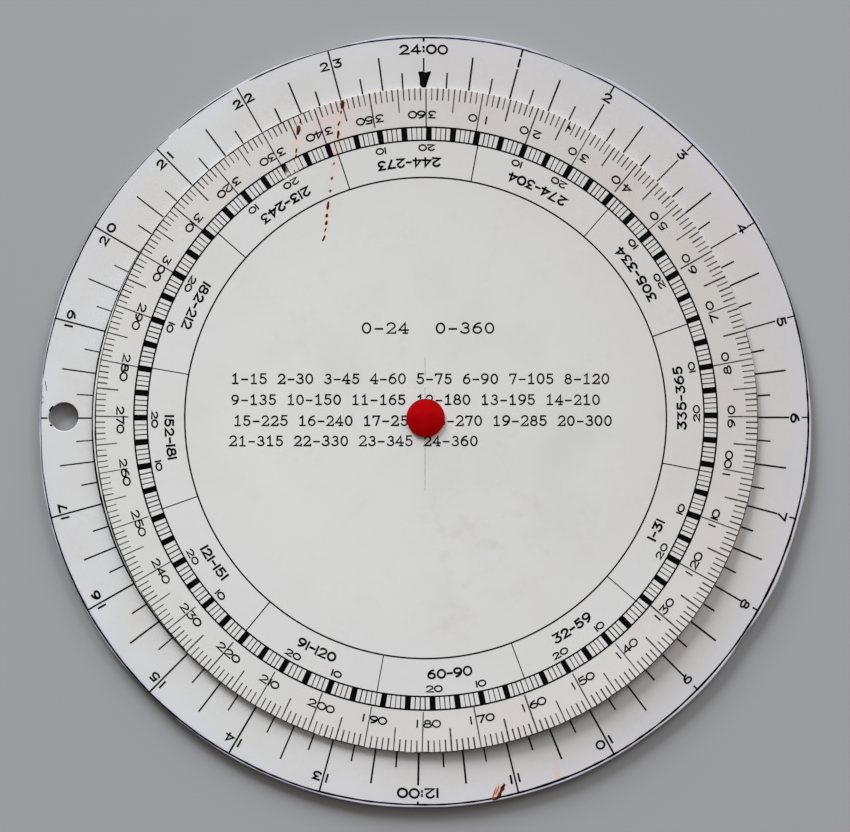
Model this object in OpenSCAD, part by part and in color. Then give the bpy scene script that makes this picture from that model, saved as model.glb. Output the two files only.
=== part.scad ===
// Star finder: a round dial that turns in front of a round base, on a two-piece snap rivet.
// The pivot is the Z axis, the face looks up, and +Y runs to the 24-hour mark at the top.
// The socket's foot stands at z = 0, then come the base sheet, a gap, the dial and the button.

/* [Base disc] */
// Diameter of the base sheet across its cut rim
base_d = 191.6; // [180:0.1:260]
// Thickness of the base sheet
base_t = 0.8; // [0.4:0.05:2]
// Diameter of the punched hanging hole
hang_d = 7.14; // [4:0.02:10]
// Width of sheet left between the hanging hole and the rim
hang_land = 2.6; // [1.5:0.1:8]
// Angle of the hanging hole above the nine o'clock line, in degrees
hang_angle = 0.2; // [-20:0.1:20]

/* [Dial disc] */
// Diameter of the dial sheet across its cut rim
dial_d = 164.8; // [120:0.1:170]
// Thickness of the dial sheet
dial_t = 0.75; // [0.4:0.05:2]
// Gap between the base sheet and the flat part of the dial
dial_gap = 0.25; // [0.15:0.05:1]
// Height by which the dial's rim has curled up, at its highest point
curl_h = 1; // [0.3:0.1:3]
// Width of the curled strip, measured inwards from that point of the rim
curl_w = 32; // [15:1:50]
// Direction of the curled strip, in degrees counter-clockwise from +X
curl_angle = -52; // [-180:1:180]

/* [Rivet] */
// Diameter of the button and of the socket's foot
head_d = 9.5; // [8:0.1:16]
// Height of the button's edge
head_edge_h = 0.45; // [0.3:0.05:1]
// Rise of the button's crown above its edge
crown_rise = 0.5; // [0.2:0.05:1.5]
// Radius of the rounding on the button and on the foot
edge_r = 0.25; // [0.1:0.05:0.29]
// Thickness of the socket's foot
foot_t = 1; // [0.8:0.05:2]
// Outer diameter of the socket's barrel
barrel_d = 4.76; // [4.2:0.02:6]
// Diameter of the button's pin
pin_d = 2.8; // [2:0.1:3]
// Height of the snap ridge round the pin
ridge_h = 0.15; // [0.05:0.05:0.3]
// Thickness of the floor under the pin
floor_t = 0.5; // [0.3:0.05:0.6]

/* [Fits] */
// Radial clearance between the base sheet's hole and the barrel
base_fit = 0.04; // [0.02:0.01:0.1]
// Radial running clearance between the dial's bore and the barrel
run_fit = 0.08; // [0.02:0.01:0.1]
// Clearance between the dial's face and the button
face_fit = 0.15; // [0.05:0.05:0.5]
// Clearance all round the pin inside the barrel
pin_fit = 0.03; // [0.02:0.01:0.06]

/* [Hidden] */

sheet_white = [0.82, 0.81, 0.80];
rivet_red = [0.62, 0.01, 0.03];

base_z = foot_t;
dial_z = base_z + base_t + dial_gap;
head_z = dial_z + dial_t + face_fit;
hang_reach = base_d / 2 - hang_land - hang_d / 2;

// The curled strip is part of a tube of this radius, which the flat of the dial meets at a tangent.
curl_r = (curl_w * curl_w + curl_h * curl_h) / (2 * curl_h);
curl_start = dial_d / 2 - curl_w;

pin_r = pin_d / 2;
ridge_half = 2 * ridge_h;
ridge_z = floor_t + pin_fit + ridge_half + 0.5 * ridge_h;

// Overshoot of every cutter past the face that it cuts
cut = 1;
round_fn = 180;
// The curl's circles are large, so they take many sides
curl_fn = 1440;

// Side view of the dial sheet: X along the curl's direction, Y up, the flat's underside at 0
module curled_outline() {
    translate([-dial_d / 2, 0])
        square([dial_d / 2 + curl_start, dial_t]);
    intersection() {
        translate([curl_start, 0])
            square([curl_w + cut, dial_t + 2 * curl_h]);
        translate([curl_start, curl_r])
            difference() {
                circle(r = curl_r, $fn = curl_fn);
                circle(r = curl_r - dial_t, $fn = curl_fn);
            }
    }
}

// Half outline of the button or the foot: flat on Y = 0, a rounded edge, and a crown on top
module button_outline(edge_h, rise) {
    r = head_d / 2;
    flat_r = r - edge_r;
    square([r, edge_h - edge_r]);
    square([flat_r, edge_h]);
    translate([flat_r, edge_h - edge_r])
        circle(r = edge_r, $fn = 64);
    if (rise > 0) {
        crown_r = (flat_r * flat_r + rise * rise) / (2 * rise);
        intersection() {
            translate([0, edge_h - edge_r])
                square([flat_r, rise + edge_r]);
            translate([0, edge_h + rise - crown_r])
                circle(r = crown_r, $fn = 4 * round_fn);
        }
    }
}

// The pin with its snap ridge, from z = bottom up to z = top, grown by fit on all round faces
module snap_pin(bottom, top, fit) {
    translate([0, 0, bottom])
        cylinder(r = pin_r + fit, h = top - bottom, $fn = round_fn);
    rotate_extrude($fn = round_fn)
        polygon([
            [0, ridge_z - ridge_half - fit],
            [pin_r, ridge_z - ridge_half - fit],
            [pin_r + ridge_h + fit, ridge_z],
            [pin_r, ridge_z + ridge_half + fit],
            [0, ridge_z + ridge_half + fit]
        ]);
}

module base_disc() {
    color(sheet_white)
        translate([0, 0, base_z])
            difference() {
                cylinder(d = base_d, h = base_t, $fn = round_fn);
                translate([0, 0, -cut])
                    cylinder(r = barrel_d / 2 + base_fit, h = base_t + 2 * cut, $fn = round_fn);
                rotate([0, 0, 180 - hang_angle])
                    translate([hang_reach, 0, -cut])
                        cylinder(d = hang_d, h = base_t + 2 * cut, $fn = round_fn);
            }
}

module dial_disc() {
    color(sheet_white)
        translate([0, 0, dial_z])
            difference() {
                intersection() {
                    rotate([0, 0, curl_angle])
                        rotate([90, 0, 0])
                            linear_extrude(height = dial_d + 2 * cut, center = true)
                                curled_outline();
                    translate([0, 0, -cut])
                        cylinder(d = dial_d, h = dial_t + 2 * curl_h + 2 * cut, $fn = 2 * round_fn);
                }
                translate([0, 0, -cut])
                    cylinder(r = barrel_d / 2 + run_fit, h = dial_t + 2 * cut, $fn = round_fn);
            }
}

module rivet_button() {
    color(rivet_red) {
        translate([0, 0, head_z])
            rotate_extrude($fn = round_fn)
                button_outline(head_edge_h, crown_rise);
        snap_pin(floor_t + pin_fit, head_z + 0.5 * head_edge_h, 0);
    }
}

module rivet_socket() {
    color(rivet_red)
        difference() {
            union() {
                translate([0, 0, foot_t])
                    mirror([0, 0, 1])
                        rotate_extrude($fn = round_fn)
                            button_outline(foot_t, 0);
                cylinder(d = barrel_d, h = head_z, $fn = round_fn);
            }
            snap_pin(floor_t, head_z + cut, pin_fit);
        }
}

base_disc();
dial_disc();
rivet_button();
rivet_socket();
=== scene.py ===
"""Star finder: two printed white discs that turn on a red two-piece snap rivet.

Lengths are metres in the part's own frame, and bare lengths in lists are millimetres. The pivot is
the Z axis, the faces look up and +Y runs to the 24-hour mark. Azimuths are degrees clockwise from
+Y, seen from above, and a list of (azimuth, value) pairs goes once round.
"""

import math
import random

import bmesh
import bpy
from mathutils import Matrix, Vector, noise


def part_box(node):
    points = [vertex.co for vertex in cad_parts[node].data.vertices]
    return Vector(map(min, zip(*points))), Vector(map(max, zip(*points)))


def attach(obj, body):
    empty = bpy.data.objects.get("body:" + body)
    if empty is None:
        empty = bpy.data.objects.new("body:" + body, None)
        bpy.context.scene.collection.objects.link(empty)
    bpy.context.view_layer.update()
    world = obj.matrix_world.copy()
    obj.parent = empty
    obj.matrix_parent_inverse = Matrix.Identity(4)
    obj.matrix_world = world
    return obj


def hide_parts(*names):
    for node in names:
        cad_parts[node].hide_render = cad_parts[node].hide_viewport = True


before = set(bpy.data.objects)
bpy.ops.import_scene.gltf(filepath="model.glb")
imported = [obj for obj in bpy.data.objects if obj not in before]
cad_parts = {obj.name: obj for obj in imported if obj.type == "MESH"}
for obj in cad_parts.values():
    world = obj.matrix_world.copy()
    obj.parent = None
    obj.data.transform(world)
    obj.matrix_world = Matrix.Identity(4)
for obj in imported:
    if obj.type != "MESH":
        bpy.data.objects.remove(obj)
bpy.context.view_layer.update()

MM = 0.001

# Sizes from the frame
base_low, base_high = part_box("base_disc")
dial_low, dial_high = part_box("dial_disc")
button_low, button_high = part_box("rivet_button")
socket_low, socket_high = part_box("rivet_socket")

BASE_RADIUS = base_high.x
BASE_BOTTOM = base_low.z
BASE_TOP = base_high.z
DIAL_RADIUS = dial_high.x
DIAL_BOTTOM = dial_low.z
DIAL_THICKNESS = 0.75 * MM
DIAL_TOP = DIAL_BOTTOM + DIAL_THICKNESS
HEAD_RADIUS = button_high.x

# The dial's rim has curled up along one side, as part of a wide tube
CURL_HEADING = math.radians(-52)
CURL_WIDTH = 32 * MM
CURL_RISE = 1 * MM
CURL_START = DIAL_RADIUS - CURL_WIDTH
CURL_RADIUS = (CURL_WIDTH ** 2 + CURL_RISE ** 2) / (2 * CURL_RISE)

# Holes in the sheets
BASE_BORE_RADIUS = 2.42 * MM
DIAL_BORE_RADIUS = 2.46 * MM
HANG_HOLE_RADIUS = 3.57 * MM
HANG_HOLE_REACH = 89.63 * MM
HANG_HOLE_AZIMUTH = 270.2
SHEET_EDGE_ROUND = 0.08 * MM

# How far the hanging hole's edge is worn outwards, by azimuth round the hole
HOLE_WEAR = [(0, 0), (236, 0), (252, 0.3), (268, 0.35), (282, 0.25), (292, 0)]

# The rivet
HEAD_BOTTOM = 2.95 * MM
HEAD_EDGE = 0.45 * MM
HEAD_ROUND = 0.25 * MM
FOOT_THICKNESS = 1 * MM
BARREL_RADIUS = 2.38 * MM
PIN_RADIUS = 1.4 * MM
PIN_BOTTOM = 0.53 * MM
PIN_FIT = 0.03 * MM
PIN_CHAMFER = 0.08 * MM
LIP = 0.06 * MM
SOCKET_FLOOR = 0.5 * MM
RIDGE_HEIGHT = 0.15 * MM
RIDGE_Z = 0.905 * MM
RIDGE_HALF = 0.3 * MM

# Printing on the base
HOUR_STEP = 15
HOUR_STUB_RADIUS = 93.5 * MM
HOUR_DIGITS_RADIUS = 91.0 * MM
TOP_DIGITS_RADIUS = 91.1 * MM
HOUR_LINE_RADIUS = 90.4 * MM
HALF_HOUR_RADIUS = 91.1 * MM
QUARTER_HOUR_RADIUS = 86.6 * MM
TALL_STUB_RADIUS = 94.3 * MM
ARROW_RADIUS = 86.8 * MM
ARROW_LINE_END = 90.2 * MM
HOLE_CLEAR = 0.3 * MM
BASE_PRINT_SHIFT = (-0.25 * MM, -0.07 * MM)
# Widths of its lines
HOUR_PEN = 0.5 * MM
LONG_PEN = 0.38 * MM
HALF_PEN = 0.5 * MM
QUARTER_PEN = 0.45 * MM
ARROW_PEN = 0.36 * MM

# Printing on the dial
DEGREE_RADIUS = 79.3 * MM
FIVE_DEGREE_RADIUS = 76.5 * MM
TEN_DEGREE_RADIUS = 72.2 * MM
DAY_LINE_RADIUS = 68.9 * MM
DATE_DIGITS_RADIUS = 67.95 * MM
MONTH_DIGITS_RADIUS = 64.7 * MM
MONTH_LINE_RADIUS = 59.6 * MM
DIAL_PRINT_SHIFT = (0, 0.3 * MM)
# Widths of its lines and of the black cells
DEGREE_PEN = 0.285 * MM
FIVE_DEGREE_PEN = 0.33 * MM
TEN_DEGREE_PEN = 0.3 * MM
DAY_PEN = 0.23 * MM
MONTH_PEN = 0.25 * MM
CELL_WIDTH = 1.26 * MM

# The printed circles on the dial: the radius and the line width of each
DIAL_CIRCLES = [
    (TEN_DEGREE_RADIUS, 0.4 * MM), (DAY_LINE_RADIUS, 0.37 * MM), (MONTH_LINE_RADIUS, 0.38 * MM),
]

# The months: the azimuth of each one's first line, its number of days and its printed text
MONTHS = [
    (10.9, 31, "274-304"), (41.3, 30, "305-334"), (70.5, 31, "335-365"), (101.1, 31, "1-31"),
    (131.3, 28, "32-59"), (159.3, 31, "60-90"), (190.0, 30, "91-120"), (220.0, 31, "121-151"),
    (250.7, 30, "152-181"), (280.1, 31, "182-212"), (311.5, 31, "213-243"),
    (341.6, 30, "244-273"),
]

# The block of printing round the pivot, hours with the degrees that they stand for: the text of
# each row, its left end and its height above the pivot
TABLE_HEADING = [("0-24  0-360", -16.0, 22.3)]
TABLE_ROWS = [
    ("1-15 2-30 3-45 4-60 5-75 6-90 7-105 8-120", -48.1, 9.7),
    ("9-135 10-150 11-165 12-180 13-195 14-210", -48.1, 4.5),
    ("15-225 16-240 17-255 18-270 19-285 20-300", -47.5, -0.7),
    ("21-315 22-330 23-345 24-360", -48.6, -5.7),
]
HEADING_PITCH = 3.05 * MM
TABLE_PITCH = 2.29 * MM

# How far inside the cut rim a drawn circle and the radial lines stop
LINE_MARGIN = 0.06 * MM
BASE_MARK_MARGIN = 0.12 * MM
DIAL_MARK_MARGIN = 0.05 * MM

# Ink stands a little proud of the sheet and reaches a little into it
INK_UNDER = 0.01 * MM
INK_OVER = 0.02 * MM
# Strokes that cross differ in height by this
INK_STACK = 0.0006 * MM


def polar(azimuth, radius):
    """The point at an azimuth and a radius."""
    turn = math.radians(azimuth)
    return radius * math.sin(turn), radius * math.cos(turn)


def arc(cx, cy, rx, ry, start=0, end=360, steps=14):
    """Points along an oval from one angle to another, counter-clockwise from +X."""
    turns = [math.radians(start + (end - start) * i / steps) for i in range(steps + 1)]
    return [(cx + rx * math.cos(t), cy + ry * math.sin(t)) for t in turns]


def between(azimuth, pairs):
    """The smoothly joined value of a list of (azimuth, value) pairs at an azimuth."""
    azimuth %= 360
    for (a, first), (b, second) in zip(pairs, pairs[1:] + [(pairs[0][0] + 360, pairs[0][1])]):
        if a <= azimuth <= b:
            share = (azimuth - a) / (b - a)
            share = share * share * (3 - 2 * share)
            return first + (second - first) * share
    return pairs[0][1]


def length_at(azimuth, pairs):
    """The same for a list of lengths, in metres."""
    return between(azimuth, pairs) * MM


# Shapes of the sheets

# The base was cut by hand: azimuth and radius of its rim
RIM_CUTS = [
    (0, 96), (12, 96.15), (15, 96.1), (19, 95.6), (22, 95.45), (25, 95.7), (29, 96.25),
    (40, 96.15), (50, 96.25), (56, 96.05), (62.0, 96.0), (62.3, 95.55), (70, 95.4), (85, 95.4),
    (90, 95.6), (100, 95.95), (105, 95.65), (110, 95.7), (115, 95.95), (120, 95.65), (125, 95.15),
    (129, 95.5), (135, 95.65), (145, 95.45), (158, 95.8), (165, 95.7), (180, 95.85), (190, 96.1),
    (212, 96.25), (225, 96.2), (235, 96.4), (245, 96.2), (250, 96.35), (258, 96.25), (262, 96),
    (266, 95.8), (270, 95.72), (276, 95.7), (282, 95.65), (290, 95.75), (296, 95.55), (305, 95.3),
    (318, 95.15), (325, 95.5), (332, 95.65), (340, 95.6), (345, 95.3), (350, 95.65), (355, 96),
]
RIM_WANDER = 0.07 * MM
RIM_INSIDE = 0.04 * MM
NICK_AZIMUTH = 62.2
NICK_DEPTH = 0.25 * MM
NICK_WIDTH = 0.5
FRAY_START = 262
FRAY_END = 279
FRAY_DEPTH = 0.16 * MM

# How far a hand-drawn circle and the dial's cut wander
HAND_WANDER = 0.05 * MM

# How far inside the true circle the dial was cut, by azimuth
DIAL_CUTS = [(0, 0.03), (268, 0.03), (288, 0.3), (340, 0.3), (354, 0.06)]

# The drawn circles, which aren't quite round or centred: the radius of each and its line's width
OUTER_LINE = [
    (0, 95.25), (20, 95.4), (35, 95.45), (60, 95.4), (90, 94.9), (115, 94.8), (135, 94.7),
    (160, 95.0), (180, 95.15), (205, 95.7), (225, 95.95), (240, 95.95), (252, 95.95), (262, 95.7),
    (267, 95.4), (276, 95.48), (285, 95.3), (305, 95.2), (325, 95.1), (345, 95.2),
]
OUTER_PEN = [
    (0, 0.33), (16, 0.32), (20, 0.26), (25, 0.3), (50, 0.4), (95, 0.44), (112, 0.54), (135, 0.45),
    (155, 0.52), (185, 0.42), (240, 0.45), (252, 0.38), (263, 0.26), (267, 0.14), (275.5, 0.14),
    (277, 0.24), (281, 0.28), (290, 0.4), (305, 0.34), (328, 0.3), (330, 0.08), (332, 0.08),
    (334, 0.3),
]
INNER_LINE = [
    (0, 81.9), (205, 82.0), (218, 82.3), (235, 82.8), (246, 82.88), (256, 82.8), (270, 82.55),
    (276, 82.5), (296, 82.2), (306, 82.0), (330, 81.9),
]
INNER_PEN = [(0, 0.42), (252, 0.42), (264, 0.52), (286, 0.54), (302, 0.44)]
DIAL_LINE = [
    (0, 82.3), (60, 82.45), (100, 82.22), (170, 82.2), (185, 82.3), (240, 82.3), (260, 81.87),
    (270, 81.75), (282, 81.7), (300, 81.83), (330, 81.9),
]
DIAL_PEN = [
    (0, 0), (12, 0), (22, 0.2), (35, 0.3), (268, 0.32), (275, 0.2), (285, 0.2), (292, 0.32),
    (336, 0.3), (352, 0),
]

# How much wider the pen ran by azimuth: on the base's short lines, its hours and the dial
BASE_SWELLS = [
    (0, 0.87), (15, 0.8), (75, 0.9), (105, 0.92), (135, 0.92), (165, 0.9), (195, 0.86),
    (225, 0.86), (255, 0.72), (285, 0.58), (315, 0.74), (345, 0.95),
]
HOUR_SWELLS = [
    (0, 0.9), (30, 0.8), (45, 0.66), (75, 0.66), (90, 0.8), (125, 0.9), (135, 0.85), (150, 1.2),
    (240, 1.18), (256, 1), (345, 1),
]
DIAL_SWELLS = [
    (0, 1.06), (15, 1.05), (45, 0.95), (75, 1.1), (135, 1.1), (165, 1.18), (195, 1.05),
    (225, 0.91), (255, 0.8), (285, 0.94), (315, 0.9), (345, 1.06),
]

# How much farther out than their circle the base's short lines run, by azimuth
BASE_REACHES = [
    (0, 0), (35, 0), (60, -0.25), (90, -0.7), (170, -0.65), (186, -0.35), (203, 0), (231, 0.4),
    (250, 0.05), (272, -0.1), (282, -0.4), (305, -0.5), (335, -0.55), (350, -0.25),
]

# Slips of the hand-drawn scales: azimuth, and how many degrees too far round a mark stands
BASE_SLIPS = [
    (0, -0.15), (7.5, 0.15), (15, -0.1), (22.5, -0.65), (30, -0.3), (37.5, -0.75), (47, -0.55),
    (56, -0.85), (63, -0.65), (67.5, -1.0), (75, -0.5), (80, -0.1), (90, -0.15), (101, 0.5),
    (105, 0.15), (112.5, 0.25), (124, -0.1), (135, -0.15), (147, 0.55), (157, 0.6), (171, 1.1),
    (176, 0.6), (180, 1.0), (194, 0.8), (201, 0.45), (221, 0.05), (228, 0.2), (236, 0),
    (240, 0.35), (249, -0.15), (258, 0.2), (266, -0.05), (278, 0.3), (296, 0.05), (303, 0.3),
    (311, 0.05), (320, 0.35), (337, 0.45), (343, 0.2), (349, 0.45), (356, 0),
]
DIAL_SLIPS = [
    (0, 0.09), (15, 0), (30, 0.01), (45, -0.23), (60, -0.31), (75, -0.32), (90, -0.23),
    (105, -0.19), (120, -0.22), (135, -0.02), (150, 0.21), (165, 0.45), (180, 0.52), (195, 0.61),
    (210, 0.64), (225, 0.62), (240, 0.52), (255, 0.38), (270, 0.25), (285, 0.07), (300, 0.03),
    (315, 0.03), (330, 0.24), (345, 0.12),
]

# How far out the feet of the numerals stand from their circle: azimuth and rise
HOUR_DIGIT_RISES = [
    (0, -0.4), (15, -0.2), (30, 0.1), (45, -0.2), (60, 0.05), (75, -0.3), (105, -0.5),
    (120, -0.7), (135, -0.9), (165, -0.75), (195, -0.35), (210, -0.1), (255, 0.1), (285, -0.75),
    (300, -0.85), (345, -0.72),
]
DEGREE_DIGIT_RISES = [
    (0, -0.1), (30, 0.1), (40, 0.2), (90, 0.2), (110, 0.1), (190, 0.1), (205, 0.25), (230, 0.25),
    (245, 0.1), (270, 0.1), (280, 0), (300, -0.3), (330, -0.3), (345, -0.2),
]

# How far the digits of a two-digit hour stand from its line
DIGIT_CLEAR = 0.85 * MM

# Hours whose numeral, or its second digit, was set off to one side: how far clockwise
HOUR_ASIDE = {3: -0.2, 4: -0.3, 5: 0.5, 6: 0.2, 7: 0.2, 8: 0.3}
SECOND_DIGIT_ASIDE = {13: -0.25, 15: -0.2, 16: 0.3, 17: -0.3, 21: 0.4, 22: -0.4, 23: -0.3}


def base_rim(azimuth):
    """The base's uneven cut radius at an azimuth."""
    azimuth %= 360
    radius = length_at(azimuth, RIM_CUTS)
    radius += RIM_WANDER * noise.noise(Vector((azimuth / 5, 0.5, 0)))
    beyond = azimuth - NICK_AZIMUTH
    if 0 <= beyond < NICK_WIDTH:
        radius -= NICK_DEPTH * (1 - beyond / NICK_WIDTH)
    if FRAY_START < azimuth < FRAY_END:
        radius -= FRAY_DEPTH * abs(noise.noise(Vector((azimuth * 1.7, 4.5, 0))))
    turn = math.radians(azimuth)
    widest = (BASE_RADIUS - RIM_INSIDE) / max(abs(math.sin(turn)), abs(math.cos(turn)))
    return min(radius, widest)


def dial_rim(azimuth):
    """The dial's cut radius at an azimuth, a hair inside the true circle, and less at one side."""
    azimuth %= 360
    wander = 0.5 + 0.5 * noise.noise(Vector((azimuth / 7, 8.5, 0)))
    return DIAL_RADIUS - HAND_WANDER * wander - length_at(azimuth, DIAL_CUTS)


def base_azimuth(azimuth):
    """Where a mark meant for an azimuth really stands on the base's hand-drawn scale."""
    return azimuth + between(azimuth, BASE_SLIPS)


def dial_azimuth(degrees):
    """Where a degree mark really stands on the dial's hand-drawn scale."""
    return degrees + between(degrees, DIAL_SLIPS)


def curl(x, y, height):
    """Lift of a point of the dial, height above its underside, by the curled rim."""
    along = x * math.cos(CURL_HEADING) + y * math.sin(CURL_HEADING)
    if along <= CURL_START:
        return 0
    bend = CURL_RADIUS - height
    return bend - math.sqrt(bend * bend - (along - CURL_START) ** 2)


def base_face(x, y):
    """Height of the base's printed face."""
    return BASE_TOP


def dial_face(x, y):
    """Height of the dial's printed face."""
    return DIAL_TOP + curl(x, y, DIAL_THICKNESS)


FACES = {"base": base_face, "dial": dial_face}


# Finishes


def screen(red, green, blue):
    """A colour as seen on a screen, 0 to 255, in the linear values that shaders take."""
    shares = [value / 255 for value in (red, green, blue)]
    return (*[s / 12.92 if s <= 0.04045 else ((s + 0.055) / 1.055) ** 2.4 for s in shares], 1)


class Nodes:
    """Adds nodes to a tree, and feeds their sockets with values or with other sockets."""

    def __init__(self, tree):
        self.tree = tree

    def add(self, kind, feeds=None, **settings):
        node = self.tree.nodes.new(kind)
        for name, value in settings.items():
            setattr(node, name, value)
        for key, value in (feeds or {}).items():
            self.feed(node.inputs[key], value)
        return node

    def feed(self, socket, value):
        if isinstance(value, bpy.types.NodeSocket):
            self.tree.links.new(value, socket)
        else:
            socket.default_value = value

    def maths(self, operation, first, second=0.0):
        node = self.add("ShaderNodeMath", {0: first, 1: second}, operation=operation)
        return node.outputs[0]


class Finish(Nodes):
    """One procedural finish, with its patterns on the object's own coordinates."""

    def __init__(self, name, roughness, gloss=0.5):
        self.material = bpy.data.materials.new(name)
        self.material.use_nodes = True
        super().__init__(self.material.node_tree)
        self.shader = self.tree.nodes["Principled BSDF"]
        self.shader.inputs["Roughness"].default_value = roughness
        self.shader.inputs["Specular IOR Level"].default_value = gloss
        self.place = self.add("ShaderNodeTexCoord").outputs["Object"]

    def ramp(self, value, low, high):
        """0 where value is low, 1 where it is high, and smooth in between."""
        feeds = {"Value": value, "From Min": low, "From Max": high}
        node = self.add("ShaderNodeMapRange", feeds, interpolation_type="SMOOTHSTEP")
        return node.outputs["Result"]

    def vector(self, operation, first, second=(0, 0, 0)):
        feeds = {0: first, 1: second}
        node = self.add("ShaderNodeVectorMath", feeds, operation=operation)
        return node.outputs["Value" if operation in ("DOT_PRODUCT", "DISTANCE") else 0]

    def cloud(self, size, low=0.35, high=0.65, detail=3.0, shift=(0, 0, 0), stretch=(1, 1, 1)):
        """Soft patches of a size, from 0 to 1."""
        feeds = {"Vector": self.place, "Location": shift, "Scale": stretch}
        mapping = self.add("ShaderNodeMapping", feeds)
        feeds = {"Vector": mapping.outputs[0], "Scale": 1 / size, "Detail": detail}
        pattern = self.add("ShaderNodeTexNoise", feeds)
        return self.ramp(pattern.outputs["Fac"], low, high)

    def broken(self, mask, *patches, **more):
        """A mask broken up into soft patches."""
        return self.maths("MULTIPLY", mask, self.cloud(*patches, **more))

    def mix(self, mask, first, second):
        """The first colour where the mask is 0 and the second where it is 1."""
        node = self.add("ShaderNodeMix", {0: mask, 6: first, 7: second}, data_type="RGBA")
        return node.outputs[2]

    def toned(self, colour, mask, low, high):
        """Multiplies a colour by a tone that runs from low to high with the mask."""
        feeds = {0: 1.0, 6: colour, 7: self.mix(mask, low, high)}
        node = self.add("ShaderNodeMix", feeds, data_type="RGBA", blend_type="MULTIPLY")
        return node.outputs[2]

    def drift(self, colour, azimuth, dark, light):
        """Paints light and shade into a colour: darker on the side away from an azimuth and lighter
        towards it.
        """
        x, y = polar(azimuth, 1)
        along = self.vector("DOT_PRODUCT", self.place, (x, y, 0))
        return self.toned(colour, self.ramp(along, -95 * MM, 95 * MM), dark, light)

    def distance(self, x=0.0, y=0.0):
        """Distance from a place in mm, seen from above, or from the pivot's axis."""
        flat = self.vector("MULTIPLY", self.place, (1, 1, 0))
        return self.vector("DISTANCE", flat, (x * MM, y * MM, 0))

    def spot(self, x, y, reach):
        """1 at a place, falling to 0 at its reach, all in mm."""
        return self.ramp(self.distance(x, y), reach * MM, reach * MM * 0.25)

    def streak(self, start, end, reach):
        """1 along the line between two points, falling to 0 at its reach, all in mm."""
        reach *= MM
        start = Vector((*start, 0)) * MM
        run = Vector((*end, 0)) * MM - start
        along = run.normalized()
        across = Vector((-along.y, along.x, 0))
        offset = self.vector("SUBTRACT", self.place, start)
        aside = self.maths("ABSOLUTE", self.vector("DOT_PRODUCT", offset, across))
        travel = self.vector("DOT_PRODUCT", offset, along)
        beside = self.ramp(aside, reach, reach * 0.2)
        begun = self.ramp(travel, -reach, reach)
        ended = self.ramp(travel, run.length + reach, run.length - reach)
        return self.maths("MULTIPLY", beside, self.maths("MULTIPLY", begun, ended))

    def stained(self, colour, stains):
        """Tints a colour along lines, each with its own reach, patches and tint."""
        for start, end, reach, (size, low, high), tint in stains:
            mask = self.broken(self.streak(start, end, reach), size * MM, low, high)
            colour = self.mix(mask, colour, screen(*tint))
        return colour

    def bump(self, height, depth, strength=1.0):
        """Gives the shader a fine relief."""
        feeds = {"Height": height, "Distance": depth, "Strength": strength}
        node = self.add("ShaderNodeBump", feeds)
        self.feed(self.shader.inputs["Normal"], node.outputs["Normal"])

    def colour(self, value):
        """Gives the shader its colour, and returns the finished material."""
        self.feed(self.shader.inputs["Base Color"], value)
        return self.material


def paper_bump(finish):
    """The fine tooth of a matte sheet, with a few longer fibres."""
    grain = finish.cloud(0.25 * MM, 0.2, 0.8, detail=4)
    fibres = finish.cloud(0.6 * MM, 0.4, 0.7, stretch=(1, 0.25, 1))
    finish.bump(finish.maths("ADD", grain, fibres), 0.006 * MM, 0.6)


# The rust marks: x, y, length, width and lean of each
DIAL_RUST = [
    (-20.7, 78.25, 2.5, 1.25, -6), (-21.1, 76.2, 1.0, 0.55, -12), (-21.6, 73.4, 1.5, 0.5, -22),
    (-21.8, 70.6, 2.6, 0.8, -6), (-22.8, 63.4, 0.9, 0.35, -20), (-24.3, 52.7, 2.9, 0.65, -9),
    (-24.6, 50.3, 1.3, 0.8, -15), (-24.7, 48.5, 1.5, 0.7, -18), (-24.9, 46.8, 1.2, 0.45, -25),
    (-25.3, 44.6, 2.0, 0.6, -26), (-31.7, 71.7, 2.9, 1.3, -8), (-31.2, 74.0, 1.5, 0.5, -10),
    (-32.2, 66.6, 1.4, 0.6, -8), (-32.3, 65.3, 0.9, 0.4, -30),
]
DIAL_SPOTS = [(-23.3, 59.7, 0.9, 0.75, -35), (-23.7, 56.5, 0.9, 0.75, -5)]
BASE_RUST = [
    (18.9, -91.2, 2.9, 1.05, -28), (18.2, -92.6, 2.6, 1.05, -29), (17.2, -93.75, 0.7, 2.2, 10),
]
BASE_RUST_PALE = [
    (17.6, -91.6, 2.8, 0.42, -21), (16.9, -92.1, 3.2, 0.48, -18), (16.5, -93.2, 1.4, 0.4, -20),
]

# The roughness and gloss of the sheets' printed faces
SHEET_ROUGHNESS = 0.6
SHEET_GLOSS = 0.2

# Multipliers of each sheet's colour for its painted shade and its painted light: darker on one side
# and lighter on the other, as the light falls
PLAIN = (1, 1, 1, 1)
BASE_PAINTED_SHADE = (0.945, 0.943, 0.955, 1)
BASE_PAINTED_LIGHT = (1.075, 1.075, 1.08, 1)
BASE_PAINTED_LIGHT_AZIMUTH = 255
BASE_RIM_TONE = (1.0, 1.01, 1.05, 1)
DIAL_PAINTED_SHADE = (0.965, 0.965, 0.965, 1)
DIAL_PAINTED_LIGHT = (1.085, 1.09, 1.1, 1)
DIAL_PAINTED_LIGHT_AZIMUTH = 250

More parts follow.
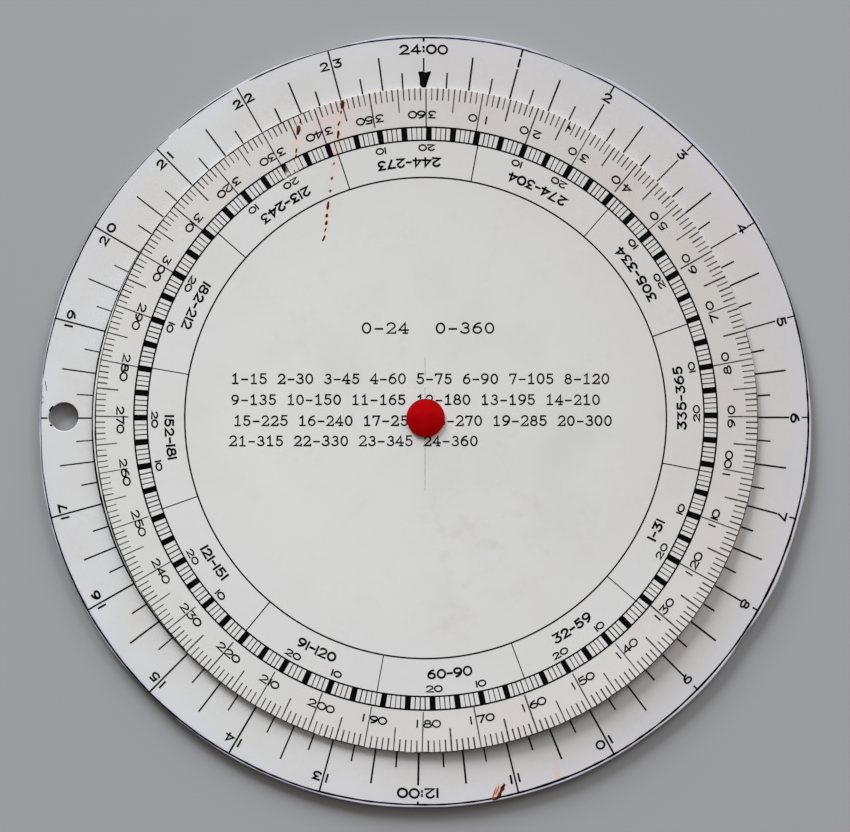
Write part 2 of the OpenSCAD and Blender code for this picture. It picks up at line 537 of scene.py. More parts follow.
# Stains: start, end, reach, the size, low and high of the patches, and tint
BASE_STAINS = [
    ((31.8, -83.8), (32.1, -86.2), 0.6, (1.6, 0.25, 0.5), (214, 194, 191)),
    ((32.1, -86.2), (32.5, -88.8), 1.2, (1.6, 0.2, 0.45), (214, 192, 189)),
    ((32.2, -86.7), (32.45, -88.1), 0.5, (1.6, 0.1, 0.6), (206, 196, 170)),
    ((29.6, -88.8), (29.8, -89.0), 0.7, (1.6, 0.2, 0.8), (206, 199, 178)),
    ((18.9, -90.2), (17.4, -94.0), 1.5, (1.6, 0.2, 0.6), (206, 186, 152)),
    ((17.9, -90.4), (17.0, -93.8), 0.9, (1.6, 0.2, 0.5), (216, 178, 164)),
]
DIAL_STAINS = [
    ((-20.7, 78.4), (-23.8, 55.5), 1.5, (1.8, 0.35, 0.7), (216, 194, 186)),
    ((-24.0, 54.0), (-25.4, 43.8), 1.5, (1.8, 0.35, 0.7), (219, 200, 174)),
    ((-31.1, 75), (-32.5, 65), 1.5, (1.8, 0.35, 0.7), (216, 194, 186)),
]
# Faint smudges on the dial: x, y and reach
DIAL_SMUDGES = [(16, -33, 24), (24, -24, 14), (-18, -60, 12), (8, -48, 14)]


def base_sheet_finish():
    """Matte white sheet, with a painted tint of the light that makes it a little bluish at one side
    and pinkish at the other, and painted light and shade across it.
    """
    finish = Finish("base_sheet_white", SHEET_ROUGHNESS, SHEET_GLOSS)
    # Painted tint of the light: a little bluish towards -X and pinkish towards +X.
    across = finish.vector("DOT_PRODUCT", finish.place, (1, 0, 0))
    colour = finish.mix(
        finish.ramp(across, -80 * MM, 90 * MM), screen(206, 208, 209), screen(208, 202, 202)
    )
    colour = finish.mix(finish.cloud(28 * MM), colour, screen(203, 202, 201))
    speckle = finish.cloud(1.6 * MM, 0.3, 0.75, detail=5)
    faded = finish.mix(speckle, screen(200, 199, 199), screen(209, 208, 208))
    colour = finish.mix(finish.cloud(6 * MM, 0.3, 1.1), colour, faded)
    radius = finish.distance()
    margin = finish.broken(finish.ramp(radius, 95.0 * MM, 95.7 * MM), 5 * MM, 0.2, 0.55)
    colour = finish.mix(margin, colour, screen(190, 189, 201))
    colour = finish.stained(colour, BASE_STAINS)
    paper_bump(finish)
    outer_band = finish.ramp(radius, 90 * MM, 93.5 * MM)
    colour = finish.toned(colour, outer_band, PLAIN, BASE_RIM_TONE)
    # Painted light and shade: the sheet is lighter towards one azimuth and darker away from it.
    return finish.colour(finish.drift(colour, BASE_PAINTED_LIGHT_AZIMUTH, BASE_PAINTED_SHADE, BASE_PAINTED_LIGHT))


def dial_sheet_finish():
    """Matte white sheet, warmer in its degree band, with stains round the rust marks, and painted
    light and shade: lighter towards one side, with its degree band less warm there.
    """
    finish = Finish("dial_sheet_white", SHEET_ROUGHNESS, SHEET_GLOSS)
    radius = finish.distance()
    colour = finish.mix(
        finish.ramp(radius, 40 * MM, 66 * MM), screen(212, 212, 211), screen(209, 208, 208)
    )
    band = finish.ramp(radius, 71.9 * MM, 72.5 * MM)
    warm = finish.mix(finish.cloud(14 * MM), screen(206, 202, 198), screen(203, 197, 193))
    # Painted light: the degree band is lighter and less warm towards azimuth 245.
    across = finish.vector("DOT_PRODUCT", finish.place, (*polar(245, 1), 0))
    warm = finish.mix(finish.ramp(across, 0, 75 * MM), warm, screen(206, 206, 204))
    colour = finish.mix(band, colour, warm)
    colour = finish.mix(finish.cloud(24 * MM, 0.45, 0.8), colour, screen(205, 205, 203))
    speckle = finish.cloud(1.6 * MM, 0.3, 0.75, detail=5, shift=(3, 1, 0))
    faded = finish.mix(speckle, screen(203, 202, 201), screen(213, 213, 212))
    colour = finish.mix(finish.cloud(7 * MM, 0.35, 1.15), colour, faded)
    for x, y, reach in DIAL_SMUDGES:
        smudge = finish.broken(finish.spot(x, y, reach), 5 * MM, 0.5, 0.75, detail=4)
        smudge = finish.maths("MULTIPLY", smudge, 0.35)
        colour = finish.mix(smudge, colour, screen(196, 190, 180))
    pink = finish.broken(finish.spot(-26, 75, 13), 6 * MM, 0.25, 0.85)
    colour = finish.mix(pink, colour, screen(210, 193, 192))
    colour = finish.stained(colour, DIAL_STAINS)
    paper_bump(finish)
    # Painted light and shade: the sheet is lighter towards one azimuth and darker away from it.
    return finish.colour(finish.drift(colour, DIAL_PAINTED_LIGHT_AZIMUTH, DIAL_PAINTED_SHADE, DIAL_PAINTED_LIGHT))


def sheet_back_finish():
    """The unprinted back of a sheet, slightly yellowed."""
    finish = Finish("sheet_back", 0.6)
    colour = finish.mix(finish.cloud(30 * MM), screen(207, 204, 196), screen(200, 196, 186))
    colour = finish.mix(finish.cloud(2.5 * MM, 0.5, 0.9, detail=5), colour, screen(192, 187, 176))
    paper_bump(finish)
    return finish.colour(colour)


def sheet_edge_finish():
    """The cut edge of a sheet, with the marks of the blade across it, painted grey for shade though
    the sheet itself is white.
    """
    finish = Finish("sheet_cut_edge", 0.65)
    # Painted shade: the white sheet's cut edge is coloured grey.
    colour = finish.mix(finish.cloud(3 * MM), screen(182, 181, 182), screen(162, 160, 160))
    layers = finish.cloud(0.2 * MM, 0.3, 0.7, stretch=(0.08, 0.08, 1))
    colour = finish.mix(layers, colour, screen(172, 170, 169))
    finish.bump(layers, 0.02 * MM, 0.5)
    return finish.colour(colour)


# The gloss of ink and rust, and of the rubbed plastic
DULL_GLOSS = 0.05
PLASTIC_GLOSS = 0.04

# Places where the print has come off the sheet: x, y and reach
BARE_PATCHES = [(-33.0, 62.6, 2.2), (-34.2, 60.3, 1.6)]


def ink_finish(name, black, worn, low, high):
    """Printing ink, worn and greyish where the mask runs from low to high."""
    finish = Finish(name, 0.7, DULL_GLOSS)
    rubbed = finish.cloud(1.1 * MM, low, high, detail=5)
    colour = finish.mix(rubbed, black, worn)
    for x, y, reach in BARE_PATCHES:
        gone = finish.broken(finish.spot(x, y, reach), 0.9 * MM, 0.3, 0.5, detail=4)
        colour = finish.mix(gone, colour, screen(208, 206, 204))
    finish.bump(finish.cloud(0.15 * MM, 0.3, 0.7), 0.004 * MM, 0.5)
    return finish.colour(colour)


def rust_finish(name, fresh, ochre, dark):
    """Dried rust, fresh and ochre in patches, with dark specks."""
    finish = Finish(name, 0.8, DULL_GLOSS)
    colour = finish.mix(finish.cloud(3.5 * MM, 0.52, 0.7), fresh, ochre)
    colour = finish.mix(finish.cloud(0.5 * MM, 0.45, 0.6), colour, dark)
    finish.bump(finish.cloud(0.3 * MM, 0.3, 0.7), 0.01 * MM)
    return finish.colour(colour)


def red_plastic_finish():
    """Moulded red plastic with a satin skin and faint lighter scuffs."""
    finish = Finish("red_moulded_plastic", 0.38, PLASTIC_GLOSS)
    colour = finish.mix(finish.cloud(3 * MM), screen(163, 1, 6), screen(154, 0, 4))
    scuffs = finish.cloud(0.5 * MM, 0.6, 0.8, detail=5, stretch=(1, 0.3, 1))
    colour = finish.mix(scuffs, colour, screen(170, 12, 18))
    gloss = finish.cloud(0.9 * MM, 0.3, 0.8, detail=4)
    node = finish.add("ShaderNodeMapRange", {"Value": gloss, "To Min": 0.4, "To Max": 0.55})
    finish.feed(finish.shader.inputs["Roughness"], node.outputs["Result"])
    peel = finish.cloud(0.7 * MM, 0.2, 0.8, detail=2)
    finish.bump(peel, 0.01 * MM, 0.5)
    return finish.colour(colour)


# Making pieces


def add_piece(name, mesh, body, slot, *finishes):
    """Makes a finished mesh a piece that rides on a body."""
    piece = bpy.data.objects.new(name, mesh)
    bpy.context.scene.collection.objects.link(piece)
    for finish in finishes:
        mesh.materials.append(finish)
    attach(piece, body)
    return piece


def outward_mesh(name, shape):
    """Turns a bmesh of closed shells into a mesh with its faces outwards."""
    bmesh.ops.recalc_face_normals(shape, faces=shape.faces)
    mesh = bpy.data.meshes.new(name)
    shape.to_mesh(mesh)
    shape.free()
    return mesh


def smooth_mesh(name, shape, smooth_below):
    """The same with its doubles merged, and smooth where it bends less than an angle."""
    bmesh.ops.remove_doubles(shape, verts=shape.verts, dist=0.0001 * MM)
    mesh = outward_mesh(name, shape)
    mesh.shade_smooth()
    mesh.set_sharp_from_angle(angle=math.radians(smooth_below))
    return mesh


def join_rows(shape, low, high, closed=True):
    """Faces between two rows of corners, round to the first again or not."""
    count = len(low)
    for i in range(count if closed else count - 1):
        k = (i + 1) % count
        shape.faces.new((low[i], low[k], high[k], high[i]))


def wall_section(thickness):
    """(inset, height) points up a sheet's rounded edge, with a narrow flat strip beside it."""
    small = SHEET_EDGE_ROUND
    strip = 3 * small
    under = arc(small, small, small, small, 270, 180, 2)
    over = arc(small, thickness - small, small, small, 180, 90, 2)
    return [(strip, 0)] + under + over + [(strip, thickness)]


def punched_sheet(outlines, bottom, thickness):
    """A flat sheet with a wall round each outline, which gives a point for a turn and an inset."""
    shape = bmesh.new()
    caps = ([], [])
    for outline, steps in outlines:
        rows = []
        for inset, height in wall_section(thickness):
            points = [outline(360 * step / steps, inset) for step in range(steps)]
            rows.append([shape.verts.new((x, y, bottom + height)) for x, y in points])
        for low, high in zip(rows, rows[1:]):
            join_rows(shape, low, high)
        for cap, row in zip(caps, (rows[0], rows[-1])):
            cap += [shape.edges.get((row[i], row[(i + 1) % steps])) for i in range(steps)]
    for cap in caps:
        bmesh.ops.triangle_fill(shape, use_beauty=True, edges=cap)
    return shape


def turned(section, steps, ends_meet):
    """A shape turned round the pivot; section gives its (radius, height) points at an azimuth."""
    shape = bmesh.new()
    rings = []
    for step in range(steps):
        azimuth = 360 * step / steps
        points = [(*polar(azimuth, radius), height) for radius, height in section(azimuth)]
        rings.append([shape.verts.new(point) for point in points])
    for ring, after in zip(rings, rings[1:] + rings[:1]):
        join_rows(shape, ring, after, ends_meet)
    return shape


def sort_faces(mesh):
    """Gives the printed face slot 0, the cut edges slot 1 and the back slot 2."""
    for face in mesh.polygons:
        if face.normal.z > 0.9:
            face.material_index = 0
        elif face.normal.z < -0.9:
            face.material_index = 2
        else:
            face.material_index = 1


def make_base_sheet(finishes):
    """The base sheet with its cut rim, its bore and its hanging hole."""
    hole_x, hole_y = polar(HANG_HOLE_AZIMUTH, HANG_HOLE_REACH)

    def rim(azimuth, inset):
        return polar(azimuth, base_rim(azimuth) - inset)

    def bore(azimuth, inset):
        return polar(azimuth, BASE_BORE_RADIUS + inset)

    def hang_hole(azimuth, inset):
        x, y = polar(azimuth, HANG_HOLE_RADIUS + length_at(azimuth, HOLE_WEAR) + inset)
        return hole_x + x, hole_y + y

    outlines = ((rim, 1440), (bore, 48), (hang_hole, 120))
    shape = punched_sheet(outlines, BASE_BOTTOM, BASE_TOP - BASE_BOTTOM)
    mesh = smooth_mesh("base_sheet", shape, 50)
    sort_faces(mesh)
    piece = add_piece("base_sheet", mesh, "base", "base_sheet", *finishes)
    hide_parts("base_disc")


def make_dial_sheet(finishes):
    """The dial sheet, with its bore and its curled rim."""
    wall = wall_section(DIAL_THICKNESS)
    # Rings of corners at which the sheet can bend
    stations = [r * MM for r in range(4, 82, 2)]

    def section(azimuth):
        rim = dial_rim(azimuth)
        points = [(rim - inset, height) for inset, height in wall]
        points += [(radius, DIAL_THICKNESS) for radius in reversed(stations)]
        points += [(DIAL_BORE_RADIUS + inset, height) for inset, height in reversed(wall)]
        points += [(radius, 0) for radius in stations]
        return points

    shape = turned(section, 360, ends_meet=True)
    for corner in shape.verts:
        x, y, height = corner.co
        corner.co.z = DIAL_BOTTOM + height + curl(x, y, height)
    mesh = smooth_mesh("dial_sheet", shape, 40)
    sort_faces(mesh)
    piece = add_piece("dial_sheet", mesh, "dial", "dial_sheet", *finishes)
    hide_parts("dial_disc")


def pin_outline(bottom, top, fit):
    """Half outline of the pin with its snap ridge, from the axis up to the top."""
    radius = PIN_RADIUS + fit
    half = RIDGE_HALF + fit
    return [
        (0, bottom),
        (radius - PIN_CHAMFER, bottom),
        (radius, bottom + PIN_CHAMFER),
        (radius, max(RIDGE_Z - half, bottom + PIN_CHAMFER)),
        (radius + RIDGE_HEIGHT, RIDGE_Z),
        (radius, RIDGE_Z + half),
        (radius, top),
    ]


def make_rivet(plastic):
    """The button with its snap pin, and the socket that the pin goes into."""
    flat = HEAD_RADIUS - HEAD_ROUND
    crown_rise = button_high.z - HEAD_BOTTOM - HEAD_EDGE
    crown_radius = (flat ** 2 + crown_rise ** 2) / (2 * crown_rise)
    crown_middle = button_high.z - crown_radius
    spread = math.degrees(math.asin(flat / crown_radius))
    crown = arc(0, crown_middle, crown_radius, crown_radius, 90 - spread, 90, 10)
    edge = arc(flat, HEAD_BOTTOM + HEAD_EDGE - HEAD_ROUND, HEAD_ROUND, HEAD_ROUND, 0, 78, 6)
    under = [(HEAD_RADIUS - LIP, HEAD_BOTTOM), (HEAD_RADIUS, HEAD_BOTTOM + LIP)]
    button = pin_outline(PIN_BOTTOM, HEAD_BOTTOM, 0) + under + edge + crown
    mesh = smooth_mesh("red_button", turned(lambda azimuth: button, 96, False), 35)
    piece = add_piece("red_button", mesh, "base", "rivet_red", plastic)
    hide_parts("rivet_button")

    dimple = [(0, 0.12 * MM), (0.9 * MM, 0.12 * MM), (1.1 * MM, 0)]
    foot_under = arc(flat, HEAD_ROUND, HEAD_ROUND, HEAD_ROUND, 270, 360, 5)
    foot_over = [(HEAD_RADIUS, FOOT_THICKNESS - LIP), (HEAD_RADIUS - LIP, FOOT_THICKNESS)]
    barrel = [(BARREL_RADIUS, FOOT_THICKNESS), (BARREL_RADIUS, socket_high.z - LIP)]
    barrel.append((BARREL_RADIUS - LIP, socket_high.z))
    blind_bore = pin_outline(SOCKET_FLOOR, socket_high.z, PIN_FIT)[::-1]
    socket = dimple + foot_under + foot_over + barrel + blind_bore
    mesh = smooth_mesh("rivet_socket_moulded", turned(lambda azimuth: socket, 96, False), 35)
    piece = add_piece("rivet_socket_moulded", mesh, "base", "rivet_red", plastic)
    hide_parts("rivet_socket")


# Ink in pen strokes


class Strokes:
    """Thin closed bands of ink, gathered flat and then laid on a sheet's face."""

    def __init__(self):
        self.corners = []
        self.faces = []
        self.count = 0

    def band(self, path, width, closed=False):
        """One stroke of the pen along a path of points."""
        first = len(self.corners)
        count = len(path)
        over = INK_OVER + self.count % 9 * INK_STACK
        self.count += 1
        for i, here in enumerate(path):
            here = Vector(here)
            before = Vector(path[i - 1]) if closed or i else here
            after = Vector(path[(i + 1) % count]) if closed or i < count - 1 else here
            arriving = (here - before).normalized()
            leaving = (after - here).normalized()
            heading = (arriving + leaving).normalized()
            widen = 1 / max(heading.dot(leaving if after != here else arriving), 0.45)
            side = Vector((-heading.y, heading.x)) * width / 2 * widen
            for point, height in (
                (here + side, -INK_UNDER),
                (here - side, -INK_UNDER),
                (here - side, over),
                (here + side, over),
            ):
                self.corners.append((point.x, point.y, height))
        for i in range(count if closed else count - 1):
            low = first + 4 * i
            high = first + 4 * ((i + 1) % count)
            for k in range(4):
                n = (k + 1) % 4
                self.faces.append((low + k, low + n, high + n, high + k))
        if not closed:
            last = first + 4 * (count - 1)
            self.faces.append((first, first + 1, first + 2, first + 3))
            self.faces.append((last, last + 1, last + 2, last + 3))

    def plate(self, outline):
        """A flat filled shape."""
        first = len(self.corners)
        count = len(outline)
        for height in (-INK_UNDER, INK_OVER):
            self.corners += [(x, y, height) for x, y in outline]
        self.faces.append(tuple(range(first, first + count)))
        self.faces.append(tuple(range(first + count, first + 2 * count)))
        for i in range(count):
            k = (i + 1) % count
            self.faces.append((first + i, first + k, first + count + k, first + count + i))

    def lay(self, name, body, ink, shift=(0, 0)):
        """Lays the strokes on a sheet's face as one piece."""
        shape = bmesh.new()
        corners = []
        for x, y, height in self.corners:
            x += shift[0]
            y += shift[1]
            corners.append(shape.verts.new((x, y, FACES[body](x, y) + height)))
        for indices in self.faces:
            shape.faces.new([corners[i] for i in indices])
        add_piece(name, outward_mesh(name, shape), body, "print_ink", ink)


def line(*points):
    """An open stroke through points, for a sign."""
    return list(points), False


def oval(*shape, steps=14):
    """A closed round stroke, for a sign."""
    return arc(*shape, steps=steps)[:-1], True


# Strokes of drafted digits on a height of 1
DRAFTED = {
    "0": [oval(0, 0.5, 0.44, 0.5)],
    "1": [line((0, 0), (0, 1))],
    "2": [line(*arc(-0.02, 0.7, 0.36, 0.3, 165, -28, 8), (-0.4, 0), (0.42, 0))],
    "3": [line((-0.34, 1), (0.34, 1), *arc(-0.04, 0.3, 0.4, 0.3, 90, -150, 9))],
    "4": [line((0.16, 0), (0.16, 1), (-0.44, 0.27), (0.44, 0.27))],
    "5": [line((0.32, 1), (-0.24, 1), *arc(-0.02, 0.32, 0.4, 0.32, 132, -150, 10))],
    "6": [oval(0, 0.31, 0.4, 0.31), line(*arc(0.3, 0.31, 0.7, 0.69, 96, 172, 5))],
    "7": [line((-0.38, 1), (0.4, 1), (-0.1, 0))],
    "8": [oval(0, 0.76, 0.31, 0.24, steps=12), oval(0, 0.27, 0.42, 0.27)],
    "9": [oval(0, 0.69, 0.4, 0.31), line(*arc(-0.3, 0.69, 0.7, 0.69, -8, -84, 5))],
    "-": [line((-0.26, 0.48), (0.26, 0.48))],
    ":": [line((0, 0.2), (0, 0.34)), line((0, 0.66), (0, 0.8))],
}

# The same for typed digits, which have small feet
TYPED = {
    "0": [oval(0, 0.5, 0.34, 0.5)],
    "1": [line((-0.26, 0.8), (0, 1), (0, 0)), line((-0.28, 0), (0.28, 0))],
    "2": [line(*arc(0, 0.71, 0.32, 0.29, 168, -30, 8), (-0.34, 0), (0.34, 0), (0.36, 0.16))],
    "3": [
        line(*arc(0, 0.76, 0.27, 0.24, 150, -90, 7)),
        line(*arc(-0.02, 0.27, 0.35, 0.27, 90, -160, 8)),
    ],
    "4": [line((0.14, 0), (0.14, 1), (-0.38, 0.3), (0.4, 0.3)), line((-0.04, 0), (0.32, 0))],
    "5": [line((0.28, 1), (-0.22, 1), *arc(-0.02, 0.32, 0.34, 0.32, 130, -155, 9))],
    "6": [oval(0, 0.31, 0.34, 0.31), line(*arc(0.26, 0.31, 0.6, 0.69, 92, 172, 5))],
    "7": [line((-0.34, 0.84), (-0.34, 1), (0.34, 1), (-0.04, 0))],
    "8": [oval(0, 0.76, 0.26, 0.24, steps=12), oval(0, 0.27, 0.34, 0.27)],
    "9": [oval(0, 0.69, 0.34, 0.31), line(*arc(-0.26, 0.69, 0.6, 0.69, -8, -88, 5))],
    "-": [line((-0.3, 0.42), (0.3, 0.42))],
}

# How wide digits and the narrower signs are, as shares of their height
DIGIT_WIDTH = 0.84
NARROW_WIDTHS = {"1": 0.1, ":": 0.1, "-": 0.52}
# How far a stroke's end runs on, as a share of the pen's width
STROKE_END = 0.4


class Lettering:
    """A style of digits: how high and wide they are, their pen, and the gap between them."""

    def __init__(self, signs, height, spread, pen, gap, seed, pitch=None):
        self.signs = signs
        self.height = height
        self.spread = spread
        self.pen = pen
        self.gap = gap
        self.pitch = pitch
        self.chance = random.Random(seed)

    def width(self, sign):
        if self.pitch:
            return self.pitch - self.gap
        return NARROW_WIDTHS.get(sign, DIGIT_WIDTH) * self.height * self.spread

    def length(self, text):
        return sum(self.width(sign) for sign in text) + self.gap * (len(text) - 1)

    def write(self, strokes, text, place, start):
        """Writes text along a line, where place gives each sign's foot and directions."""
        for sign in text:
            width = self.width(sign)
            if sign in self.signs:
                self.draw(strokes, self.signs[sign], *place(start + width / 2))
            start += width + self.gap

    def reach_on(self, before, end, pen):
        """The end of a stroke, moved on by part of the pen's width."""
        onward = (Vector(end) - Vector(before)).normalized() * pen * STROKE_END
        return end[0] + onward.x, end[1] + onward.y

    def draw(self, strokes, sign, foot, right, up):
        lean = self.chance.uniform(-0.03, 0.03)
        grow = self.chance.uniform(0.97, 1.03)
        pen = self.pen * self.chance.uniform(0.92, 1.1)
        for points, closed in sign:
            path = []
            for x, y in points:
                across = (x * self.spread + lean * y) * self.height * grow
                along = y * (self.height - pen) * grow + pen / 2
                px = foot[0] + right[0] * across + up[0] * along
                py = foot[1] + right[1] * across + up[1] * along
                path.append((px, py))
            if not closed:
                first = self.reach_on(path[1], path[0], pen)
                last = self.reach_on(path[-2], path[-1], pen)
                path = [first] + path[1:-1] + [last]
            strokes.band(path, pen, closed)


def round_the_pivot(azimuth, radius, tops_out):
    """A line of writing that runs round the pivot from an azimuth, with its feet at a radius."""
    side = 1 if tops_out else -1

    def place(along):
        turn = math.radians(azimuth) + side * along / radius
        out = (math.sin(turn), math.cos(turn))
        foot = (radius * out[0], radius * out[1])
        return foot, (side * out[1], -side * out[0]), (side * out[0], side * out[1])

    return place


def straight_row(x, y):
    """A level line of writing that starts at a point."""

    def place(along):
        return (x + along, y), (1, 0), (0, 1)

    return place


def centred(lettering, strokes, text, azimuth, radius, tops_out):
    """Writes text with its middle at an azimuth."""
    place = round_the_pivot(azimuth, radius, tops_out)
    lettering.write(strokes, text, place, -lettering.length(text) / 2)


# Ink in bars and rings, made by Geometry Nodes

BAR_SECTIONS = 5
RING_STEPS = 360


def new_tree(name, *sizes):
    """A geometry node tree with an input for each size, a seed and an ink, and those inputs."""
    tree = bpy.data.node_groups.new(name, "GeometryNodeTree")
    kinds = {"Geometry": "Geometry"} | {label: "Float" for label in sizes}
    kinds |= {"Seed": "Int", "Ink": "Material"}
    for label, kind in kinds.items():
        tree.interface.new_socket(label, in_out="INPUT", socket_type="NodeSocket" + kind)
    tree.interface.new_socket("Geometry", in_out="OUTPUT", socket_type="NodeSocketGeometry")
    nodes = Nodes(tree)
    return nodes, nodes.add("NodeGroupInput").outputs


def end_tree(nodes, geometry, ink):
    """Ends a tree in real geometry with its ink."""
    real = nodes.add("GeometryNodeRealizeInstances", {"Geometry": geometry})
    inked = nodes.add("GeometryNodeSetMaterial", {"Geometry": real.outputs[0], "Material": ink})
    nodes.add("NodeGroupOutput", {0: inked.outputs[0]})
    return nodes.tree


def uneven(nodes, given, step, around, spread):
    """A random value around another, different for each mark."""
    low = nodes.maths("SUBTRACT", around, spread)
    high = nodes.maths("ADD", around, spread)
    seed = nodes.maths("ADD", given["Seed"], float(step))
    feeds = {2: low, 3: high, "Seed": seed}
    return nodes.add("FunctionNodeRandomValue", feeds, data_type="FLOAT").outputs[1]


def bars_tree():
    """Points that carry a turn, a length and a width become bars of ink."""
    spreads = ("Length Spread", "Width Spread", "Turn Spread")
    nodes, given = new_tree("print_bars", "Thickness", *spreads)

    def carried(name):
        feeds = {"Name": name}
        return nodes.add("GeometryNodeInputNamedAttribute", feeds, data_type="FLOAT").outputs[0]

    feeds = {"Size": (1, 1, 1), "Vertices X": BAR_SECTIONS, "Vertices Y": 2, "Vertices Z": 2}
    bar = nodes.add("GeometryNodeMeshCube", feeds)
    turn = nodes.maths("ADD", carried("turn"), uneven(nodes, given, 0, 0.0, given["Turn Spread"]))
    euler = nodes.add("ShaderNodeCombineXYZ", {"Z": turn}).outputs[0]
    rotation = nodes.add("FunctionNodeEulerToRotation", {0: euler}).outputs[0]
    longer = uneven(nodes, given, 1, 1.0, given["Length Spread"])
    wider = uneven(nodes, given, 2, 1.0, given["Width Spread"])
    feeds = {
        "X": nodes.maths("MULTIPLY", carried("length"), longer),
        "Y": nodes.maths("MULTIPLY", carried("width"), wider),
        "Z": given["Thickness"],
    }
    size = nodes.add("ShaderNodeCombineXYZ", feeds)
    feeds = {
        "Points": given["Geometry"],
        "Instance": bar.outputs["Mesh"],
        "Rotation": rotation,
        "Scale": size.outputs[0],
    }
    placed = nodes.add("GeometryNodeInstanceOnPoints", feeds)
    return end_tree(nodes, placed.outputs[0], given["Ink"])


def ring_tree():
    """A printed circle whose line swells and thins a little."""
    nodes, given = new_tree("print_ring", "Radius", "Line Width", "Thickness", "Width Spread")
    feeds = {"Resolution": RING_STEPS, "Radius": given["Radius"]}
    circle = nodes.add("GeometryNodeCurvePrimitiveCircle", feeds)
    feeds = {"W": given["Seed"], "Scale": 90.0, "Detail": 2.0}
    swell = nodes.add("ShaderNodeTexNoise", feeds, noise_dimensions="4D")
    spread = nodes.maths("MULTIPLY", given["Width Spread"], 2.0)
    swing = nodes.maths("MULTIPLY", nodes.maths("SUBTRACT", swell.outputs[0], 0.5), spread)
    feeds = {"Curve": circle.outputs[0], "Radius": nodes.maths("ADD", swing, 1.0)}
    line = nodes.add("GeometryNodeSetCurveRadius", feeds)
    feeds = {"Width": given["Line Width"], "Height": given["Thickness"]}
    profile = nodes.add("GeometryNodeCurvePrimitiveQuadrilateral", feeds)
    feeds = {"Curve": line.outputs[0], "Profile Curve": profile.outputs[0]}
    solid = nodes.add("GeometryNodeCurveToMesh", feeds)
    return end_tree(nodes, solid.outputs[0], given["Ink"])


def grow_mesh(tree, host_mesh, values):
    """Runs a geometry tree on a mesh and returns the plain mesh that it makes."""
    host = bpy.data.objects.new(tree.name + "_host", host_mesh)
    bpy.context.scene.collection.objects.link(host)
    modifier = host.modifiers.new(tree.name, "NODES")
    modifier.node_group = tree
    sockets = {item.name: item.identifier for item in tree.interface.items_tree}
    for label, value in values.items():
        modifier[sockets[label]] = value
    depsgraph = bpy.context.evaluated_depsgraph_get()
    mesh = bpy.data.meshes.new_from_object(host.evaluated_get(depsgraph))
    host.modifiers.remove(modifier)
    bpy.data.objects.remove(host)
    return mesh


def lay_mesh(name, mesh, body, shift, *inks):
    """Lays a flat mesh of ink on a sheet's face, moved by the print's shift, as one piece."""
    middle = (INK_OVER - INK_UNDER) / 2
    for corner in mesh.vertices:
        x = corner.co.x + shift[0]
        y = corner.co.y + shift[1]
        corner.co = (x, y, FACES[body](x, y) + middle + corner.co.z)
    mesh.name = name
    add_piece(name, mesh, body, "print_ink", *inks)


def lay_bars(name, marks, seed, spreads, body, ink, shift=(0, 0)):
    """Lays radial bars of ink, from (azimuth, inner radius, outer radius, width) marks.

    The spreads are those of their lengths, widths and turns, the last in degrees.
    """
    host = bpy.data.meshes.new(name + "_points")
    host.from_pydata([(*polar(a, (r0 + r1) / 2), 0) for a, r0, r1, w in marks], [], [])
    carried = {
        "turn": [math.radians(90 - a) for a, r0, r1, w in marks],
        "length": [r1 - r0 for a, r0, r1, w in marks],
        "width": [w for a, r0, r1, w in marks],
    }
    for label, values in carried.items():
        host.attributes.new(label, "FLOAT", "POINT").data.foreach_set("value", values)
    values = {
        "Thickness": INK_OVER + INK_UNDER,
        "Length Spread": spreads[0],
        "Width Spread": spreads[1],
        "Turn Spread": math.radians(spreads[2]),
        "Seed": seed,
        "Ink": ink,
    }
    lay_mesh(name, grow_mesh(print_bars, host, values), body, shift)


def lay_rings(name, circles, seed, body, ink, shift):
    """Lays printed circles, from (radius, line width) pairs, joined in one piece."""
    shape = bmesh.new()
    for step, (radius, width) in enumerate(circles):
        values = {
            "Radius": radius,
            "Line Width": width,
            "Thickness": INK_OVER + INK_UNDER,
            "Width Spread": 0.35,
            "Seed": seed + step,
            "Ink": ink,
        }
        shape.from_mesh(grow_mesh(print_ring, bpy.data.meshes.new(name + "_host"), values))
    mesh = bpy.data.meshes.new(name)
    shape.to_mesh(mesh)
    shape.free()
    lay_mesh(name, mesh, body, shift, ink)


# Printing on the base


def shifted_out(azimuth):
    """How far the base's print is shifted outwards at an azimuth."""
    x, y = polar(azimuth, 1)
    return BASE_PRINT_SHIFT[0] * x + BASE_PRINT_SHIFT[1] * y


def line_start(azimuth):
    """Where a radial line starts, at the inner drawn circle."""
    return length_at(azimuth, INNER_LINE) - shifted_out(azimuth)


def line_end(azimuth):
    """How far out a radial line can run: to the outer drawn circle, or just inside the rim."""
    reach = min(length_at(azimuth, OUTER_LINE), base_rim(azimuth) - BASE_MARK_MARGIN)
    return reach - shifted_out(azimuth)


# Lines that would be shorter than this are left out
LEAST_LENGTH = 0.2 * MM


